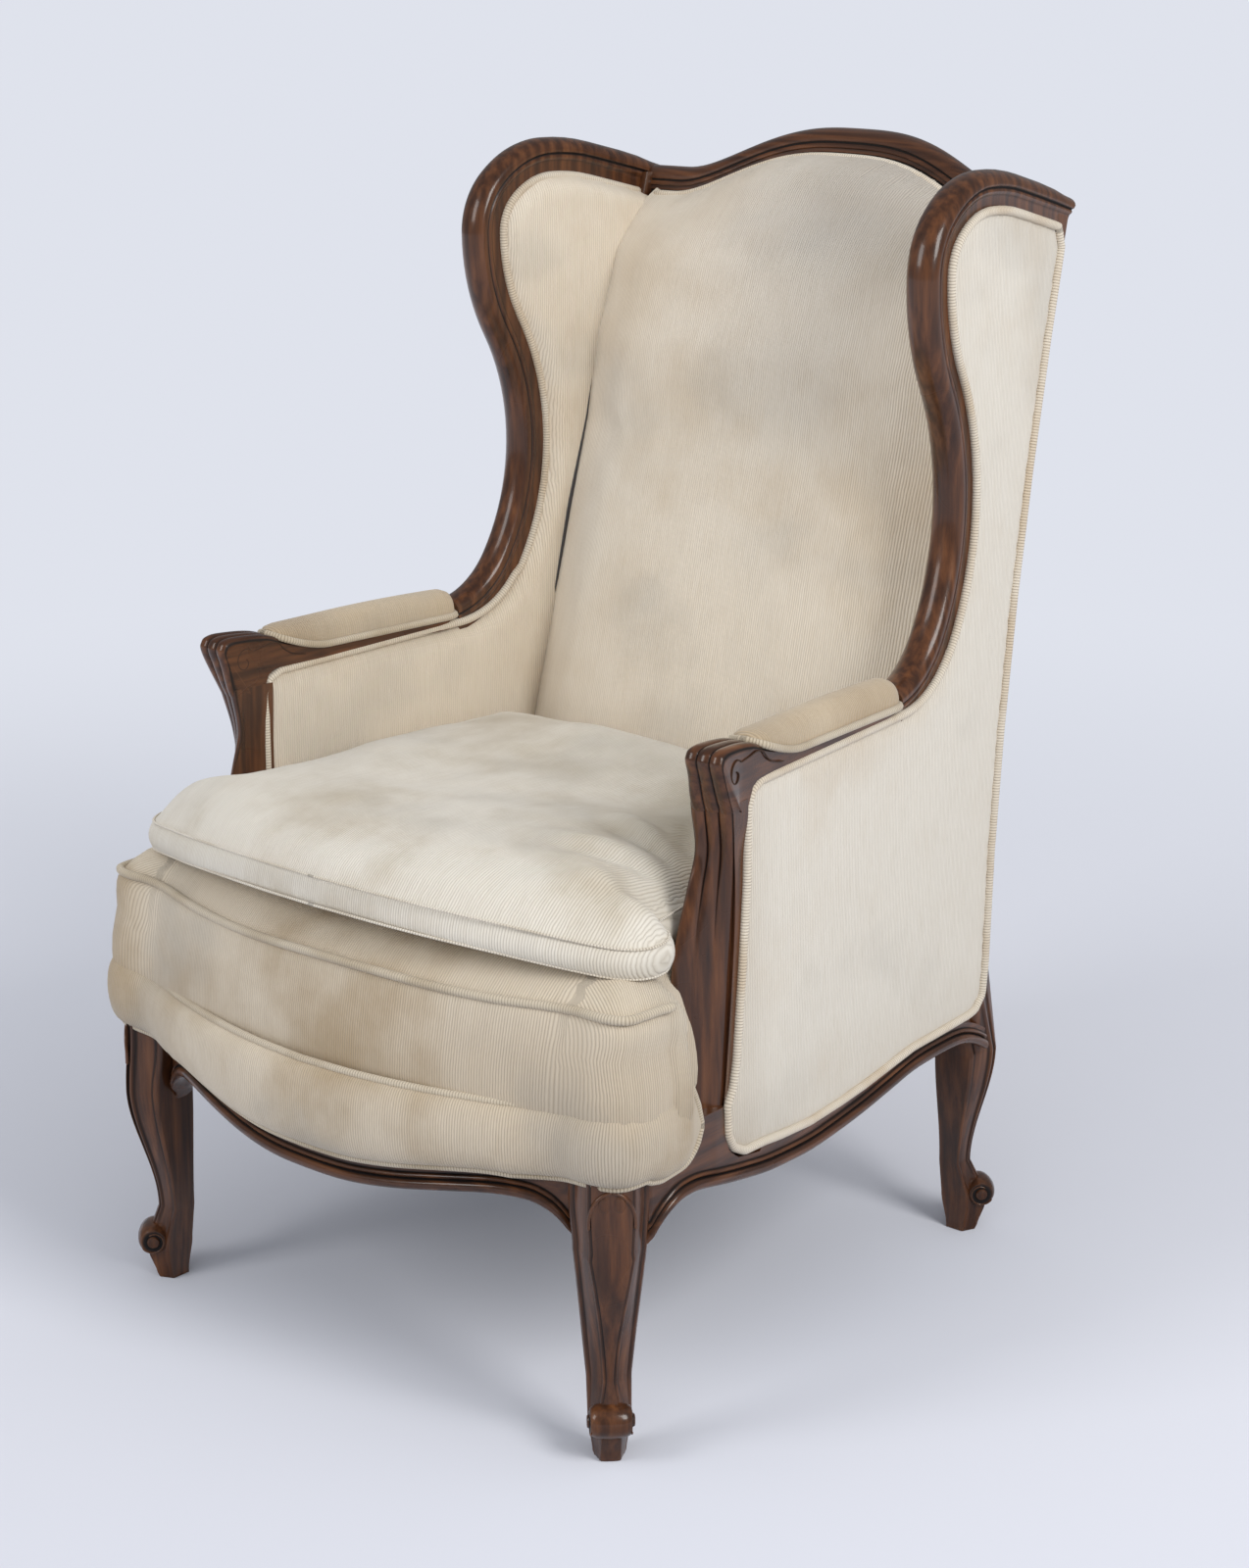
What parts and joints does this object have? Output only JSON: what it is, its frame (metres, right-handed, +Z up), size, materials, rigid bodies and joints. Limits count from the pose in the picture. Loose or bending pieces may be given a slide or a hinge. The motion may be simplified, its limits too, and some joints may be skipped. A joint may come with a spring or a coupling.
{
  "type": "wingback armchair",
  "caption": "Upholstered wing armchair with a carved show-wood frame, scrolled cabriole legs, padded arms and a loose seat cushion",
  "frame": {"origin": "on the floor, under the middle of the chair's overall length and width", "axes": "+Z up; the front of the chair faces -Y; +X is to the right of someone who looks at the chair's front"},
  "size_m": [0.64, 0.8045, 1.05],
  "materials": {
    "walnut": "polished dark show wood",
    "beech": "bare hidden frame wood",
    "ribbed_cloth": "fine ribbed cream cloth, soiled with use",
    "cushion_filling": "feather and wadding filling",
    "webbing": "woven jute webbing",
    "hessian": "open jute weave",
    "lining": "thin black dust cloth",
    "spring_steel": "coppered coil spring wire"
  },
  "bodies": {
    "chair": {"arm_pad_left": "ribbed_cloth", "arm_pad_right": "ribbed_cloth", "arm_post_left": "walnut", "arm_post_right": "walnut", "arm_rail_left": "walnut", "arm_rail_right": "walnut", "back_corner_block_left": "beech", "back_corner_block_right": "beech", "back_hessian": "hessian", "back_leg_left": "walnut", "back_leg_right": "walnut", "back_seat_rail": "beech", "back_webbing": "webbing", "crest_rail": "walnut", "dust_cover": "lining", "front_corner_block_left": "beech", "front_corner_block_right": "beech", "front_leg_left": "walnut", "front_leg_right": "walnut", "front_roll": "ribbed_cloth", "front_seat_rail": "walnut", "inside_back_pad": "ribbed_cloth", "inside_side_pad_left": "ribbed_cloth", "inside_side_pad_right": "ribbed_cloth", "lower_back_rail": "beech", "outside_back_panel": "ribbed_cloth", "outside_side_panel_left": "ribbed_cloth", "outside_side_panel_right": "ribbed_cloth", "seat_hessian": "hessian", "seat_platform": "ribbed_cloth", "seat_springs": "spring_steel", "seat_webbing": "webbing", "side_seat_rail_left": "walnut", "side_seat_rail_right": "walnut", "side_stay_rail_left": "beech", "side_stay_rail_right": "beech", "wing_rail_left": "walnut", "wing_rail_right": "walnut"},
    "seat_cushion": {"seat_cushion_cover": "ribbed_cloth", "seat_cushion_fill": "cushion_filling"}
  },
  "joints": [
    {"name": "cushion_lift", "type": "slide", "parent": "chair", "child": "seat_cushion", "axis": [0, 0, 1], "range_m": [0, 0.25]}
  ]
}
